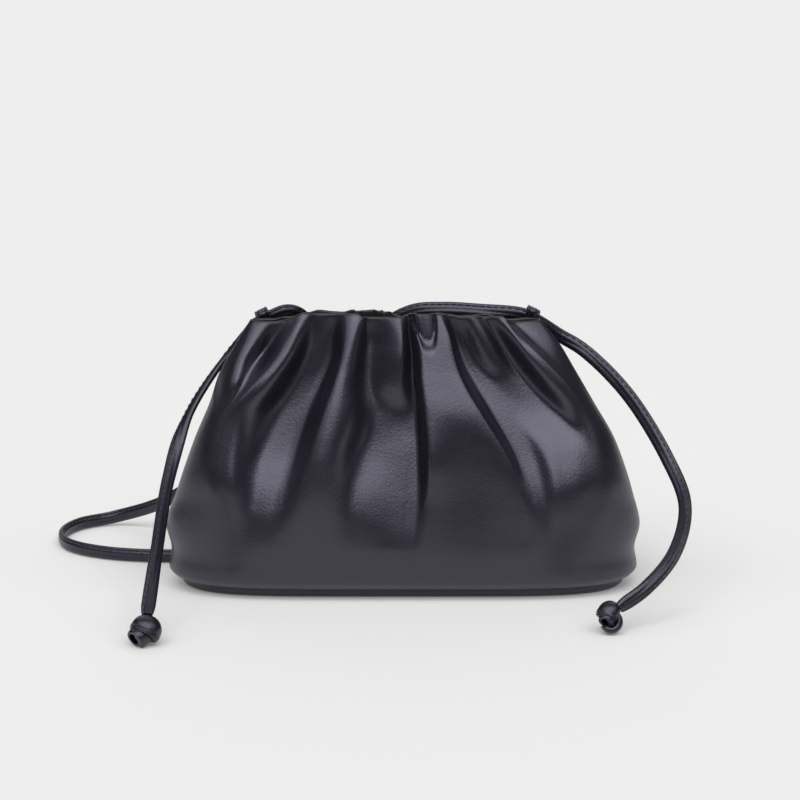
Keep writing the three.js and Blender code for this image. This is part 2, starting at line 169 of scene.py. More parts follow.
# Leather: pebbled grain with pores, soft unevenness, cloudy colour and a roughness that varies
def leatherFinish(name, look):
    material, nodes, links, shader = newFinish(name)
    place = nodes.new("ShaderNodeTexCoord").outputs["Object"]
    cells = nodes.new("ShaderNodeTexVoronoi")
    cells.feature = "SMOOTH_F1"
    cells.inputs["Scale"].default_value = look["grainScale"]
    cells.inputs["Smoothness"].default_value = look["grainBlend"]
    links.new(place, cells.inputs["Vector"])
    pores = addNoise(nodes, links, place, look["grainScale"] * look["poreScale"], 3)
    soft = addNoise(nodes, links, place, look["softScale"], 2)
    cloud = addNoise(nodes, links, place, look["cloudScale"], 4, 0.6)
    uneven = addBump(nodes, links, soft, look["softBump"], look["softHeight"])
    grain = cells.outputs["Distance"]
    pebbled = addBump(nodes, links, grain, look["grainBump"], look["grainHeight"], uneven)
    poreBump = look["grainBump"] * look["poreBump"]
    poreHeight = look["grainHeight"] * look["poreHeight"]
    pored = addBump(nodes, links, pores, poreBump, poreHeight, pebbled)
    links.new(pored, shader.inputs["Normal"])
    colour = addMix(nodes, links, addRange(nodes, links, cloud, 0, 1), look["dark"], look["light"])
    links.new(colour, shader.inputs["Base Color"])
    rough = addRange(nodes, links, cloud, look["smoothest"], look["roughest"])
    links.new(rough, shader.inputs["Roughness"])
    shader.inputs["Specular IOR Level"].default_value = look["gloss"]
    shader.inputs["Specular Tint"].default_value = (*look["glossTint"], 1)
    return material


pouchLook = {
    "dark": (0.0062, 0.0056, 0.0100),
    "light": (0.0082, 0.0074, 0.0130),
    "smoothest": 0.31,
    "roughest": 0.39,
    "gloss": 1.0,
    "glossTint": (0.82, 0.80, 1.0),
    "grainScale": 900,
    "grainBlend": 0.6,
    "grainBump": 0.30,
    "grainHeight": 0.00016,
    "poreScale": 2.3,  # pores: shares of the grain's scale, bump and height
    "poreBump": 0.6,
    "poreHeight": 0.5,
    "softScale": 70,
    "softBump": 0.10,
    "softHeight": 0.0016,
    "cloudScale": 38,
}
strapLook = {
    **pouchLook,
    "dark": (0.0045, 0.0042, 0.0075),
    "light": (0.0065, 0.0060, 0.0100),
    "smoothest": 0.28,
    "roughest": 0.36,
    "gloss": 0.75,
    "grainScale": 1500,
    "softScale": 240,
    "softBump": 0.16,
    "softHeight": 0.0007,
    "cloudScale": 90,
}
# Sewing thread: its colour is partly the thread's own navy and partly painted highlight, set lighter to
# stand in for the glints on the stitches
threadLook = {
    "colour": (0.045, 0.043, 0.058),
    "roughness": 0.42,
    "twistScale": 2600,
    "twistBump": 0.4,
    "twistHeight": 0.00015,
}
edgeLook = {
    "colour": (0.004, 0.004, 0.006),
    "roughness": 0.34,
    "unevenScale": 700,
    "unevenBump": 0.25,
    "unevenHeight": 0.0002,
}
fleshLook = {
    "dark": (0.010, 0.010, 0.014),
    "light": (0.020, 0.019, 0.026),
    "roughness": 0.85,
    "napScale": 2200,
    "napBump": 0.5,
    "napHeight": 0.0002,
}


def threadFinish(look):
    material, nodes, links, shader = newFinish("sewing_thread")
    place = nodes.new("ShaderNodeTexCoord").outputs["Object"]
    twist = addNoise(nodes, links, place, look["twistScale"], 2)
    twisted = addBump(nodes, links, twist, look["twistBump"], look["twistHeight"])
    links.new(twisted, shader.inputs["Normal"])
    # the thread's navy, lifted lighter as painted highlight for the stitches' glints
    shader.inputs["Base Color"].default_value = (*look["colour"], 1)
    shader.inputs["Roughness"].default_value = look["roughness"]
    return material


def edgePaintFinish(look):
    material, nodes, links, shader = newFinish("painted_edge")
    place = nodes.new("ShaderNodeTexCoord").outputs["Object"]
    uneven = addNoise(nodes, links, place, look["unevenScale"], 2)
    brushed = addBump(nodes, links, uneven, look["unevenBump"], look["unevenHeight"])
    links.new(brushed, shader.inputs["Normal"])
    shader.inputs["Base Color"].default_value = (*look["colour"], 1)
    shader.inputs["Roughness"].default_value = look["roughness"]
    return material


def fleshFinish(look):
    material, nodes, links, shader = newFinish("flesh_side")
    place = nodes.new("ShaderNodeTexCoord").outputs["Object"]
    nap = addNoise(nodes, links, place, look["napScale"], 4, 0.7)
    colour = addMix(nodes, links, addRange(nodes, links, nap, 0, 1), look["dark"], look["light"])
    links.new(colour, shader.inputs["Base Color"])
    napped = addBump(nodes, links, nap, look["napBump"], look["napHeight"])
    links.new(napped, shader.inputs["Normal"])
    shader.inputs["Roughness"].default_value = look["roughness"]
    return material


pouchLeather = leatherFinish("pouch_leather_finish", pouchLook)
strapLeather = leatherFinish("strap_leather_finish", strapLook)
sewingThread = threadFinish(threadLook)
paintedEdge = edgePaintFinish(edgeLook)
fleshSide = fleshFinish(fleshLook)
print("finishes made")

# The strap: a folded band, sewn along one edge, from the left knot to the right one
strap = {
    "width": 6.5 * mm,
    "thickness": 3.2 * mm,
    "step": 0.8 * mm,  # between rings
    "around": 48,
    "squareness": 0.8,
    "edgeThinning": 0.12,  # the sewn edge is pressed thinner
    "sewnAt": 0.62,  # of half the width
    "grooveDepth": 0.42 * mm,
    "grooveWidth": 0.55 * mm,
    "foldAt": -0.18,  # where the folded edges of the band meet
    "foldDepth": 0.22 * mm,
    "foldWidth": 0.35 * mm,
    "stitchPitch": 3.3 * mm,
    "stitchLength": 2.3 * mm,
    "stitchSeat": 0.95,  # share of the section's rise there
    "stitchSink": 0.75,  # share of the groove's depth
    "stitchBow": 0.9,  # of the thread's radius
    "unsewnEnd": 4 * mm,
    "threadRadius": 0.27 * mm,
    "threadEnd": 0.45,  # share of the radius left at a stitch's ends
    "threadSides": 6,  # and as many rings in a stitch
    "pucker": 0.3,  # share of the groove lost between stitches
    "tieLength": 5 * mm,  # drawn in where it goes into a knot
    "tieWidth": 0.7,
}

# Way of the strap and the direction of its width, as in the part
strapRoute = [
    ((-0.113, -0.0923, 0.0125), (-1, 0, 0)),  # left tail
    ((-0.111, -0.064, 0.0328), (-0.72, -0.4, 0.57)),
    ((-0.1078, -0.027, 0.0592), (-0.72, -0.3, 0.57)),
    ((-0.1002, -0.0042, 0.0826), (-0.4, 0.9, 0)),
    ((-0.0849, 0.0104, 0.1048), (0, 1, 0)),
    ((-0.073, 0.012, 0.1176), (-0.5, 0.6, 0.6)),
    ((-0.068, 0.0122, 0.1229), (-0.45, -0.2, 0.87)),  # through the left keeper
    ((-0.0614, 0.0127, 0.1263), (-0.4, -0.3, 0.87)),
    ((-0.0539, 0.015, 0.1281), (0.1, 0.2, 0.93)),
    ((-0.047, 0.019, 0.1244), (0.8, -0.3, 0.45)),  # over the back rim
    ((-0.041, 0.0267, 0.1033), (1, 0, 0.3)),
    ((-0.03, 0.0352, 0.072), (0.9, 0, 0.4)),
    ((-0.006, 0.0426, 0.032), (0.6, 0, 0.7)),
    ((0.022, 0.0454, 0.0084), (0.2, 0, 1)),
    ((0.048, 0.048, 0.0036), (0, 0, 1)),  # on the floor behind the bag
    ((0.063, 0.058, 0.0036), (0, 0, 1)),
    ((0.062, 0.073, 0.0036), (0, 0, 1)),
    ((0.046, 0.08, 0.0036), (0, 0, 1)),
    ((0.01, 0.068, 0.0036), (0, 0, 1)),
    ((-0.06, 0.0396, 0.0036), (0, 0, 1)),
    ((-0.113, 0.031, 0.0036), (0, 0, 1)),  # loop at the left
    ((-0.146, 0.037, 0.0036), (0, 0, 1)),
    ((-0.165, 0.051, 0.0036), (0, 0, 1)),
    ((-0.1706, 0.07, 0.0036), (0, 0, 1)),
    ((-0.164, 0.0886, 0.0036), (0, 0, 1)),
    ((-0.147, 0.0976, 0.0049), (-0.1, 0, 1)),
    ((-0.118, 0.085, 0.0176), (-0.4, -0.1, 0.9)),  # rising behind the bag
    ((-0.07, 0.053, 0.061), (-0.5, -0.3, 0.8)),
    ((-0.016, 0.025, 0.114), (-0.3, -0.2, 0.9)),
    ((0.004, 0.017, 0.1276), (0, 0.3, 0.95)),  # over the right half of the rim
    ((0.0183, 0.0145, 0.1294), (0, 0.4, 0.92)),
    ((0.0366, 0.0132, 0.1287), (0.1, 0.4, 0.92)),
    ((0.056, 0.0113, 0.1272), (0.4, 0, 0.85)),  # through the right keeper
    ((0.0629, 0.0113, 0.1241), (0.45, -0.1, 0.82)),
    ((0.073, 0.0118, 0.1175), (0.5, -0.1, 0.85)),
    ((0.0854, 0.009, 0.1102), (0.6, 0.3, 0.7)),  # right tail
    ((0.1053, 0.0016, 0.091), (0.6, 0, 0.7)),
    ((0.1231, -0.014, 0.0638), (0.8, -0.2, 0.5)),
    ((0.1296, -0.0334, 0.0468), (0.8, -0.4, 0.4)),
    ((0.123, -0.0554, 0.0304), (0.85, -0.2, -0.2)),
    ((0.109, -0.0712, 0.0186), (0.7, -0.1, -0.6)),
    ((0.0964, -0.0776, 0.0112), (0.65, 0, -0.75)),
]


# Centripetal Catmull-Rom through the points, at places counted in points from the first
def smoothPath(points, at):
    points = np.asarray(points, dtype=float)
    ends = (2 * points[0] - points[1], 2 * points[-1] - points[-2])
    padded = np.vstack([ends[0], points, ends[1]])
    i = np.minimum(np.floor(at).astype(int), len(points) - 2)
    t = (at - i)[:, None]
    p0, p1, p2, p3 = (padded[i + k] for k in range(4))
    d0, d1, d2 = (np.linalg.norm(b - a, axis=1, keepdims=True) ** 0.5
                  for a, b in ((p0, p1), (p1, p2), (p2, p3)))
    m1 = ((p1 - p0) / d0 - (p2 - p0) / (d0 + d1) + (p2 - p1) / d1) * d1
    m2 = ((p2 - p1) / d1 - (p3 - p1) / (d1 + d2) + (p3 - p2) / d2) * d1
    return (
        p1
        + m1 * t
        + (-3 * p1 + 3 * p2 - 2 * m1 - m2) * t ** 2
        + (2 * p1 - 2 * p2 + m1 + m2) * t ** 3
    )


# Evenly spaced stations along a route: path, width directions and distance from the start
def evenStations(route, step):
    points = [row[0] for row in route]
    widths = unit(np.array([row[1] for row in route], dtype=float))
    dense = np.linspace(0, len(route) - 1, 40 * len(route))
    along = smoothPath(points, dense)
    travelled = np.concatenate([[0], np.cumsum(np.linalg.norm(np.diff(along, axis=0), axis=1))])
    count = int(round(travelled[-1] / step)) + 1
    distance = np.linspace(0, travelled[-1], count)
    at = np.interp(distance, travelled, dense)
    i = np.minimum(np.floor(at).astype(int), len(route) - 2)
    share = (at - i)[:, None]
    return smoothPath(points, at), widths[i] * (1 - share) + widths[i + 1] * share, distance


def strapSections(distance):
    halfWidth, halfThickness = strap["width"] / 2, strap["thickness"] / 2
    angle = np.linspace(0, 2 * np.pi, strap["around"], endpoint=False)
    c, s = np.cos(angle), np.sin(angle)
    u = halfWidth * np.sign(c) * np.abs(c) ** strap["squareness"]
    v = halfThickness * np.sign(s) * np.abs(s) ** strap["squareness"]
    thinning = 1 - strap["edgeThinning"] * np.clip(u / halfWidth, 0, 1) ** 2
    pull = 1 - strap["pucker"] * (0.5 - 0.5 * np.cos(2 * np.pi * distance / strap["stitchPitch"]))
    nearGroove = np.exp(-((u - strap["sewnAt"] * halfWidth) / strap["grooveWidth"]) ** 2)
    nearFold = np.exp(-((u - strap["foldAt"] * halfWidth) / strap["foldWidth"]) ** 2)
    sewn = strap["grooveDepth"] * pull[:, None] * nearGroove[None, :]
    groove = (sewn + strap["foldDepth"] * nearFold[None, :]) * np.abs(s) ** 0.5
    v = v * thinning - np.sign(s) * groove
    fromEnd = np.minimum(distance, distance[-1] - distance) / strap["tieLength"]
    drawnIn = strap["tieWidth"] + (1 - strap["tieWidth"]) * np.sqrt(np.clip(fromEnd, 0, 1))
    return np.stack([u[None, :] * drawnIn[:, None], v], axis=-1)


strapPath, strapWide, strapDistance = evenStations(strapRoute, strap["step"])
strapPoints, strapFaces = sweep(strapPath, strapWide, strapSections(strapDistance))
strapPiece = addMesh("shoulder_strap", strapPoints, strapFaces, [strapLeather])
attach(strapPiece, "root")
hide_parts("strap")
strapLength = float(strapDistance[-1])
print("strap swept, length in mm:", round(strapLength / mm, 1))


# Stitches lie in the groove on both faces, each one a bowed bit of thread
def addStitches():
    tangent, across, out = pathFrame(strapPath, strapWide)
    sides = strap["threadSides"]
    lie = np.linspace(-0.5, 0.5, sides)
    angle = np.linspace(0, 2 * np.pi, sides, endpoint=False)
    offset = strap["sewnAt"] * strap["width"] / 2
    edgeward = abs(strap["sewnAt"]) ** (1 / strap["squareness"])
    rise = strap["thickness"] / 2 * (1 - edgeward ** 2) ** (strap["squareness"] / 2) * strap["stitchSeat"]
    rise -= strap["grooveDepth"] * strap["stitchSink"]
    points, faces = [], []
    for middle in np.arange(strap["stitchPitch"], strapLength - strap["unsewnEnd"], strap["stitchPitch"]):
        at = middle + lie * strap["stitchLength"]
        rows = [np.stack([np.interp(at, strapDistance, block[:, k]) for k in range(3)], axis=1)
                for block in (strapPath, tangent, across, out)]
        centre, forward, sideways, outward = rows
        bow = (1 - (2 * lie) ** 2)[:, None]
        radius = strap["threadRadius"] * (strap["threadEnd"] + (1 - strap["threadEnd"]) * bow ** 0.5)
        lifted = rise + strap["threadRadius"] * strap["stitchBow"] * bow
        for face in (-1, 1):
            line = centre + sideways * offset + outward * face * lifted
            ring = (sideways[:, None, :] * np.cos(angle)[None, :, None]
                    + outward[:, None, :] * np.sin(angle)[None, :, None])
            start = len(points) * sides * sides
            last = start + (sides - 1) * sides
            points.append((line[:, None, :] + ring * radius[:, :, None]).reshape(-1, 3))
            faces += tubeFaces(sides, sides, start)
            faces.append(tuple(start + i for i in range(sides)))
            faces.append(tuple(last + i for i in reversed(range(sides))))
    return addMesh("strap_stitches", np.vstack(points), faces, [sewingThread])


stitches = addStitches()
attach(stitches, "root")
print("strap stitched")

# Overhand knots: the strap laps over itself as a bell, with a turn under it and the rolled cut end in it
knotShape = {
    "crownSteps": 18,
    "around": 48,
    "layers": (  # the strap's layers at the bell's mouth: out and down from its edge, in mm
        (0.22, 0.20), (0.26, 0.62), (0.02, 0.82), (-0.16, 0.92),
        (0.02, 1.06), (0.04, 1.46), (-0.24, 1.66), (-0.40, 1.76),
        (-0.26, 1.90), (-0.30, 2.26), (-0.66, 2.46), (-1.30, 2.30), (-1.9, 0.6),
    ),
    "lumps": ((2, 0.035, 0.8), (3, 0.02, 2)),  # waves around the bell, their height and start
    "turnSteps": 60,
    "turnTip": 0.5,  # width of the turn's two tips
    "turnBlunt": 0.04,
    "turnTaper": 0.4,
    "leather": 1.2 * mm,
    "rollTurns": 1.3,
    "rollSteps": 56,
    "rollStart": 2.2,  # in radians
    "rollCore": 0.66,  # radius where the roll starts, of the end's radius
    "rollRings": ((0, 0.92), (0.5, 1.0), (0.84, 1.01), (0.95, 0.99), (1.0, 0.95)),  # place and swell
}
leftKnot = {
    "name": "strap_knot_left",
    "node": "knot_left",
    "middle": (-0.1132, -0.0956, 0.0068),
    "bellAxis": (0.44, 0.50, 0.75),  # away from the bell's mouth
    "bell": 7.1 * mm,
    "bellStretch": 0.94,  # along its axis
    "mouthAngle": 96,
    "turnMiddle": (-0.1136, -0.0960, 0.0046),
    "turnAxis": (0.44, 0.50, 0.75),
    "turnRadius": 3.9 * mm,
    "turnBand": (4.6 * mm, 3.4 * mm),  # width and thickness
    "turnRise": 1.7 * mm,  # along its axis
    "turnFrom": 0.30,  # of a whole turn
    "turnTo": 1.02,
    "endAxis": (-0.64, -0.66, -0.40),
    "endRadius": 5.3 * mm,
    "endReach": 7.6 * mm,
    "endTaper": 0.94,
}
rightKnot = {
    "name": "strap_knot_right",
    "node": "knot_right",
    "middle": (0.0916, -0.0790, 0.0091),
    "bellAxis": (0.46, 0.34, 0.82),
    "bell": 5.2 * mm,
    "bellStretch": 1.14,
    "mouthAngle": 94,
    "turnMiddle": (0.0924, -0.0798, 0.0056),
    "turnAxis": (0.12, -0.95, 0.28),
    "turnRadius": 3.7 * mm,
    "turnBand": (7.0 * mm, 3.6 * mm),
    "turnRise": 0.8 * mm,
    "turnFrom": 0.20,
    "turnTo": 0.92,
    "endAxis": (-0.32, -0.80, -0.50),
    "endRadius": 3.9 * mm,
    "endReach": 5.4 * mm,
    "endTaper": 0.98,
}


def axisFrame(axis):
    forward = unit(np.asarray(axis, dtype=float))
    side = unit(np.cross(forward, (0, 0, 1)))
    return forward, side, np.cross(side, forward)


def ovalSection(width, thickness, count=24, squareness=0.7):
    angle = np.linspace(0, 2 * np.pi, count, endpoint=False)
    c, s = np.cos(angle), np.sin(angle)
    across = width / 2 * np.sign(c) * np.abs(c) ** squareness
    out = thickness / 2 * np.sign(s) * np.abs(s) ** squareness
    return np.stack([across, out], axis=-1)


# The bell's outline runs from its crown to the mouth, over the strap's layers there and back inside
def foldBell(knot):
    radius = knot["bell"]
    polar = np.radians(np.linspace(2, knot["mouthAngle"], knotShape["crownSteps"]))
    outline = [(radius * math.sin(t), radius * math.cos(t)) for t in polar]
    mouthWide, mouthLow = outline[-1]
    outline += [(mouthWide + out * mm, mouthLow - down * mm) for out, down in knotShape["layers"]]
    outline += [(mouthWide * 0.5, radius * 0.3), (0.1 * mm, radius * 0.4)]  # inside, up to the axis
    forward, side, up = axisFrame(knot["bellAxis"])
    around = knotShape["around"]
    points = []
    for wide, high in outline:
        for i in range(around):
            turn = 2 * math.pi * i / around
            lump = 1 + sum(tall * math.sin(waves * turn + at) for waves, tall, at in knotShape["lumps"])
            points.append(forward * high * knot["bellStretch"]
                          + (side * math.cos(turn) + up * math.sin(turn)) * wide * lump)
    faces = tubeFaces(len(outline), around)
    faces.append(tuple(range(around)))
    last = (len(outline) - 1) * around
    faces.append(tuple(last + i for i in reversed(range(around))))
    return np.asarray(knot["middle"]) + np.array(points), faces


def layTurn(knot):
    forward, side, up = axisFrame(knot["turnAxis"])
    share = np.linspace(0, 1, knotShape["turnSteps"])
    angle = 2 * np.pi * (knot["turnFrom"] + (knot["turnTo"] - knot["turnFrom"]) * share)
    path = (
        np.asarray(knot["turnMiddle"])
        + forward * (knot["turnRise"] * share)[:, None]
        + (side * np.cos(angle)[:, None] + up * np.sin(angle)[:, None]) * knot["turnRadius"]
    )
    tip, blunt = knotShape["turnTip"], knotShape["turnBlunt"]
    swell = np.sin(np.pi * np.clip(share, blunt, 1 - blunt)) ** knotShape["turnTaper"]
    taper = tip + (1 - tip) * swell
    sections = ovalSection(*knot["turnBand"])[None, :, :] * taper[:, None, None]
    return sweep(path, np.broadcast_to(forward, path.shape), sections)


# The cut end is the strap's leather rolled on itself, seen as a spiral at its end
def rollEnd(knot):
    forward, side, up = axisFrame(knot["endAxis"])
    turn = np.linspace(0, 2 * np.pi * knotShape["rollTurns"], knotShape["rollSteps"])
    core = knotShape["rollCore"]
    outer = knot["endRadius"] * (core + (1 - core) * turn / turn[-1])
    inner = outer - knotShape["leather"]
    angle = turn + knotShape["rollStart"]
    spiral = np.stack([np.cos(angle), np.sin(angle)], axis=-1)
    outline = np.concatenate([spiral * outer[:, None], (spiral * inner[:, None])[::-1]])
    reach, swell = np.array(knotShape["rollRings"]).T
    reach = reach * knot["endReach"]
    swell = swell * np.linspace(1, knot["endTaper"], len(swell))
    points = (
        np.asarray(knot["middle"])
        + forward * reach[:, None, None]
        + side * (outline[None, :, 0] * swell[:, None])[:, :, None]
        + up * (outline[None, :, 1] * swell[:, None])[:, :, None]
    )
    rings, around = points.shape[:2]
    faces = tubeFaces(rings, around)
    last = (rings - 1) * around
    half = around // 2
    for i in range(half - 1):
        faces.append((last + i, last + around - 1 - i, last + around - 2 - i, last + i + 1))
        faces.append((i + 1, around - 2 - i, around - 1 - i, i))
    return points.reshape(-1, 3), faces


def addKnot(knot):
    points, faces = [], []
    for blockPoints, blockFaces in (foldBell(knot), layTurn(knot), rollEnd(knot)):
        start = sum(len(block) for block in points)
        points.append(blockPoints)
        faces += [tuple(start + i for i in face) for face in blockFaces]
    piece = addMesh(knot["name"], np.vstack(points), faces, [strapLeather])
    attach(piece, "root")
    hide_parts(knot["node"])
    return piece


knots = [addKnot(knot) for knot in (leftKnot, rightKnot)]
print("knots tied")

# Corner loops that carry the strap: a folded tab with painted edges and a pressed line along each edge
keeper = {
    "length": 6.2 * mm,
    "lineAt": 1.15 * mm,  # from the edge
    "lineDepth": 0.3 * mm,
    "lineHalfWidth": 0.35 * mm,
    "lineLip": 0.03 * mm,
    "wall": 1.0 * mm,
    "play": 0.55 * mm,
    "corner": 1.6 * mm,
    "holeCorner": 0.6 * mm,
    "edge": 0.35 * mm,  # rounding of the painted edges
    "edgeHalfway": 0.1 * mm,  # a point of that rounding
    "painted": {0, 1, 10, 11, 12, 16},  # strips between rings, counted from the outside's first ring
    "places": {"left": 6.5, "right": 32.5},  # along the strap's route, in points
}


def roundedOutline(width, height, radius, steps=5):
    corners = ((1, -1), (1, 1), (-1, 1), (-1, -1))
    points = []
    for k, (x, y) in enumerate(corners):
        for j in range(steps + 1):
            angle = math.pi / 2 * (k - 1 + j / steps)
            points.append((x * (width / 2 - radius) + radius * math.cos(angle),
                           y * (height / 2 - radius) + radius * math.sin(angle)))
    return np.array(points)


def addKeeper(name, at):
    nearby = smoothPath([row[0] for row in strapRoute], np.array([at - 0.01, at, at + 0.01]))
    i = int(at)
    widths = unit(np.array([row[1] for row in strapRoute[i:i + 2]], dtype=float))
    forward = unit(nearby[2] - nearby[0])
    wide = widths[0] + widths[1]
    wide = unit(wide - forward * np.dot(wide, forward))
    out = np.cross(forward, wide)
    holeWidth = strap["width"] + 2 * keeper["play"]
    holeHeight = strap["thickness"] + 2 * keeper["play"]
    half, wall = keeper["length"] / 2, 2 * keeper["wall"]
    inset, halfway = keeper["edge"], keeper["edgeHalfway"]
    lineAt, lineHalf = keeper["lineAt"], keeper["lineHalfWidth"]
    pressed = ((lineAt - lineHalf, 0), (lineAt, keeper["lineDepth"]), (lineAt + lineHalf, keeper["lineLip"]))
    outside = (
        (-half, inset), (-half + halfway, halfway), (-half + inset, 0),
        *((-half + fromEdge, deep) for fromEdge, deep in pressed),
        (0, 0),
        *((half - fromEdge, deep) for fromEdge, deep in pressed[::-1]),
        (half - inset, 0), (half - halfway, halfway), (half, inset),
    )
    inside = ((half, inset), (half - inset, 0), (0, 0), (-half + inset, 0), (-half, inset))
    rings = [
        (station, roundedOutline(holeWidth + wall - 2 * shrink, holeHeight + wall - 2 * shrink,
                                 keeper["corner"] - shrink))
        for station, shrink in outside
    ] + [
        (station, roundedOutline(holeWidth + 2 * grow, holeHeight + 2 * grow, keeper["holeCorner"] + grow))
        for station, grow in inside
    ]
    around = len(rings[0][1])
    points = np.vstack([nearby[1] + forward * station + wide * outline[:, 0:1] + out * outline[:, 1:2]
                        for station, outline in rings])
    rings.append(rings[0])
    faces = tubeFaces(len(rings), around)
    faces = [tuple(i % len(points) for i in face) for face in faces]
    faceMaterial = [int(j in keeper["painted"]) for j in range(len(rings) - 1) for _ in range(around)]
    piece = addMesh("corner_loop_" + name, points, faces, [strapLeather, paintedEdge], faceMaterial)
    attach(piece, "root")
    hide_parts("keeper_" + name)
    return piece


for name, at in keeper["places"].items():
    addKeeper(name, at)
print("corner loops made")

# The pouch: leather that hangs in gathers from the rim and bulges over the belly
pouch = {
    "wall": 1.7 * mm,
    "seamGap": 0.02 * mm,
    "rimHeight": 126.3,  # heights and depths of the tables are in mm
    "rimDip": 0.2,  # the rim sinks by this share of a gather's depth
    "rimRiseStart": 105,
    "bellyBlend": 4.5,
    "creaseSlope": 1.6,
    "stepsPerFold": 12,
    "stepsAtSeam": 24,
    "creaseRounding": 8,  # passes that round a crease
    "baseSeam": 55,  # half length of the seam under the base
    "baseSteps": 8,
    "footHeight": 9,  # rows lie closer below this
    "footSteps": 14,
    "wallSteps": 112,
    "lipBlend": 2,
    "rimSteps": 4,
    "sharpAngle": 60,
    "seamDip": 0.5,
    "seamDipWidth": 1.3,
}

# Level sections, by height: half width, gathered depth, belly depth, fullness of the ends, lean
sectionColumns = ("halfWidth", "gathered", "belly", "fullness", "lean")
pouchSections = np.array([
    (0, 102.4, 44, 24.4, 5.5, 0),
    (1.4, 104.2, 44, 26.4, 5.5, 0),
    (3.4, 104.9, 44, 27, 5.4, 0),
    (4.8, 106.8, 43.9, 29.2, 5.4, 0),
    (6.2, 108.9, 43.8, 31.8, 5.3, 0),
    (9, 110.9, 43.6, 34.2, 5.2, 0),
    (18.5, 109.7, 42.9, 35.4, 4.6, 0),
    (30, 112, 41, 36.4, 3.8, 0),
    (44, 107.9, 39.3, 37.2, 4.1, 0.7),
    (56, 104.1, 37, 37.8, 4.5, 0.9),
    (71, 98.4, 33.2, 38.5, 4.0, 0.7),
    (87, 90.4, 28, 39, 3.4, -0.5),
    (102, 83.6, 22, 39, 2.9, -2.3),
    (117, 74.95, 15, 39, 2.7, -2.55),
    (126.3, 68.4, 10, 39, 2.6, -3.5),
])

# Lines of the gathers across the front: place and depth at the fold levels, and sharpness,
# which is 1 for a crease and under 0 for a flat top
foldLevels = (126.3, 119, 111, 100, 86, 68, 46, 26)
folds = [
    ((-0.93, -0.931, -0.933, -0.915, -0.945, -0.96, -0.97, -0.98),
     (0.3, 2, 4, 5.5, 4, 3.5, 4, 3), -0.5),
    ((-0.78, -0.79, -0.81, -0.84, -0.91, -0.915, -0.91, -0.92),
     (-2.5, -5, -5.5, 1.5, 3.5, 3, 4, 3), 0),
    ((-0.628, -0.658, -0.689, -0.77, -0.87, -0.85, -0.83, -0.82),
     (0, 2, 3.5, 4.5, 3.4, 1.8, 3.5, 2), -0.5),
    ((-0.53, -0.53, -0.54, -0.565, -0.635, -0.665, -0.66, -0.65),
     (-2.5, -5, -8, -11, -12.5, -11.5, -6.5, -2), 0),
    ((-0.4, -0.4, -0.385, -0.41, -0.47, -0.505, -0.535, -0.54),
     (-3.5, -8, -10.5, -12.5, -13, -12.5, -7, -2), 0.5),
    ((-0.233, -0.277, -0.304, -0.327, -0.368, -0.391, -0.395, -0.395),
     (0.5, 0.8, 1, 1, 1, 0.6, -0.6, -1), -0.8),
    ((-0.186, -0.185, -0.185, -0.18, -0.165, -0.21, -0.24, -0.24),
     (-2.5, -7, -9, -11, -12, -12, -6.5, -3), 0.2),
    ((0.024, 0.025, 0.016, -0.008, -0.011, 0, 0, -0.01),
     (0, 0, -1, -5, -12, -12, -9.5, -5.5), 0.2),
    ((0.082, 0.077, 0.085, 0.085, 0.078, 0.068, 0.062, 0.04),
     (-3, -7, -9, -11, -13, -12.5, -9.5, -6), 1),
    ((0.13, 0.135, 0.137, 0.132, 0.122, 0.115, 0.105, 0.08),
     (0.3, 0, 0, 0, 0, -0.5, -5, -5), 0.3),
    ((0.215, 0.211, 0.218, 0.226, 0.24, 0.27, 0.28, 0.28),
     (-1, -0.5, -0.3, -0.4, -0.5, -4, -7, -6.5), 0),
    ((0.302, 0.324, 0.332, 0.36, 0.41, 0.467, 0.505, 0.505),
     (0, 0, 0, 0, -0.3, -2.5, -4.5, -4), 0.5),
    ((0.356, 0.359, 0.371, 0.41, 0.46, 0.515, 0.555, 0.56),
     (-3, -7, -8.5, -9.5, -9.2, -8.5, -5, -1.5), 0.8),
    ((0.429, 0.418, 0.435, 0.494, 0.54, 0.585, 0.6, 0.6),
     (-2, -6, -8, -9.2, -9.5, -8.5, -5, -1.5), 0),
    ((0.526, 0.536, 0.554, 0.583, 0.63, 0.68, 0.67, 0.65),
     (0, -1.5, -4, -8.5, -9.5, -5.2, -2.2, -1), -0.2),
    ((0.604, 0.624, 0.653, 0.702, 0.77, 0.82, 0.84, 0.84),
     (-3, -6, -8.5, -9.5, -8.5, -2, -0.3, 0), 0),
    ((0.75, 0.786, 0.843, 0.906, 0.95, 0.965, 0.97, 0.97),
     (0.5, 3, 5, 5, 2.5, 0.5, 0, 0), -0.5),
    ((0.818, 0.85, 0.899, 0.956, 0.985, 0.99, 0.99, 0.99),
     (-1.5, -0.5, 1.5, 2.5, 1.5, 0.5, 0, 0), 0.3),
]

# Pockets pressed in under the rim: place, height of the lower lip, half width, reach up, depth
pockets = [
    (0.188, 114.8, 3.9, 12.5, 3.6),
]

# Stretches of each rim that stand up: rising from and to, falling from and to, as shares of half the width,
# and the lift
rimRise = {
    "front": [
        (-0.85, -0.62, 0.72, 0.80, 3),
        (-0.70, -0.62, -0.26, -0.21, 1.6),
        (0.04, 0.08, 0.36, 0.46, 1.3),
    ],
    "back": [(-0.72, -0.60, -0.10, 0.06, 3), (0.20, 0.30, 0.60, 0.75, 1.5)],
}


